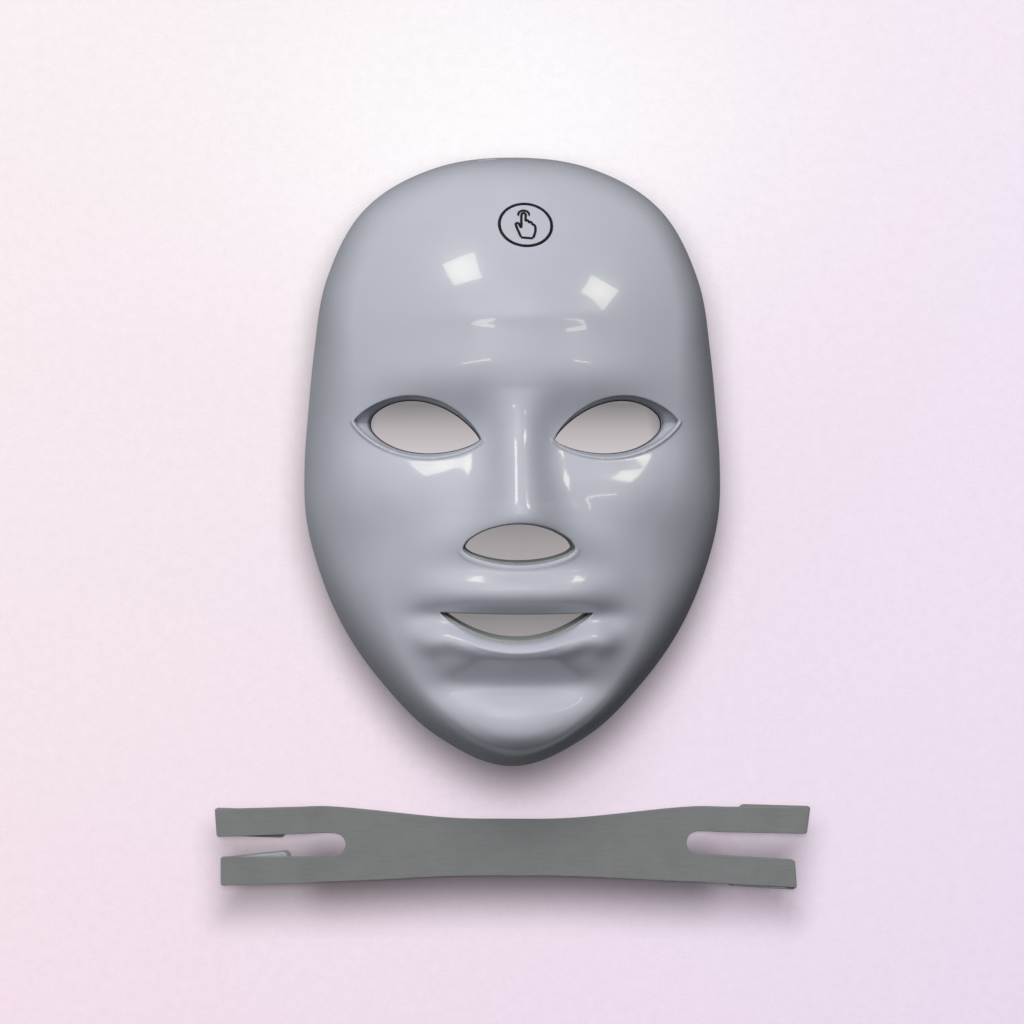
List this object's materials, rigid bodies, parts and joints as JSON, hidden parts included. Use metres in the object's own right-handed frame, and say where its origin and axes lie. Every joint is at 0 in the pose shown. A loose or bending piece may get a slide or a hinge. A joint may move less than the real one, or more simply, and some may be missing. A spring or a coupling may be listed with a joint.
{
  "type": "led face mask",
  "caption": "Face-shaped glossy light-therapy mask shell with eye, nose and mouth openings, lamp boards behind a translucent panel, and a forked elastic head strap.",
  "frame": {"origin": "middle of the whole set's footprint, on the table it lies on", "axes": "+X towards the wearer's left, +Y from chin to forehead, +Z out of the face"},
  "size_m": [0.2746, 0.3436, 0.0978],
  "materials": {
    "shell_gloss": "glossy pale blue grey",
    "mark_print": "black print",
    "panel_translucent": "translucent greenish grey",
    "frame_dark": "dark satin",
    "seal_black": "black",
    "flex_film": "amber film",
    "lamp_white": "milky",
    "sensor_copper": "bare copper",
    "board_green": "solder mask",
    "chip_black": "black",
    "battery_foil": "foil pouch",
    "foam_dark": "foam",
    "lead_red": "red",
    "port_steel": "satin",
    "cable_white": "white film",
    "screw_steel": "plated",
    "strap_cloth": "fine grey weave",
    "hook_white": "white hook tape"
  },
  "bodies": {
    "mask": {"outer_shell": "shell_gloss", "touch_mark": "mark_print", "inner_panel": "panel_translucent", "rim_frame": "frame_dark", "eye_seal_left": "seal_black", "eye_seal_right": "seal_black", "flex_forehead": "flex_film", "flex_nose": "flex_film", "flex_cheek_left": "flex_film", "flex_cheek_right": "flex_film", "flex_chin": "flex_film", "flex_ribbons": "flex_film", "lamps_forehead": "lamp_white", "lamps_nose": "lamp_white", "lamps_cheek_left": "lamp_white", "lamps_cheek_right": "lamp_white", "lamps_chin": "lamp_white", "touch_sensor": "sensor_copper", "control_board": "board_green", "board_chips": "chip_black", "battery": "battery_foil", "battery_pad": "foam_dark", "battery_leads": "lead_red", "usb_port": "port_steel", "port_board": "board_green", "port_cable": "cable_white", "panel_screws": "screw_steel"},
    "strap": {"head_strap": "strap_cloth"},
    "fold_upper_left": {"tab_upper_left": "strap_cloth", "hook_upper_left": "hook_white"},
    "fold_upper_right": {"tab_upper_right": "strap_cloth", "hook_upper_right": "hook_white"},
    "fold_lower_left": {"tab_lower_left": "strap_cloth", "hook_lower_left": "hook_white"},
    "fold_lower_right": {"tab_lower_right": "strap_cloth", "hook_lower_right": "hook_white"}
  },
  "joints": [
    {"name": "strap_lift", "type": "slide", "parent": "mask", "child": "strap", "axis": [0, 0, 1], "range_m": [0, 0.15]},
    {"name": "unfold_upper_left", "type": "hinge", "parent": "strap", "child": "fold_upper_left", "pos_m": [-0.1375, -0.14, 0.0017], "axis": [0, 1, 0], "range_deg": [0, 180]},
    {"name": "unfold_upper_right", "type": "hinge", "parent": "strap", "child": "fold_upper_right", "pos_m": [0.1375, -0.1388, 0.0017], "axis": [0, -1, 0], "range_deg": [0, 180]},
    {"name": "unfold_lower_left", "type": "hinge", "parent": "strap", "child": "fold_lower_left", "pos_m": [-0.1352, -0.1625, 0.0017], "axis": [0, 1, 0], "range_deg": [0, 180]},
    {"name": "unfold_lower_right", "type": "hinge", "parent": "strap", "child": "fold_lower_right", "pos_m": [0.1315, -0.1636, 0.0017], "axis": [0, -1, 0], "range_deg": [0, 180]}
  ]
}
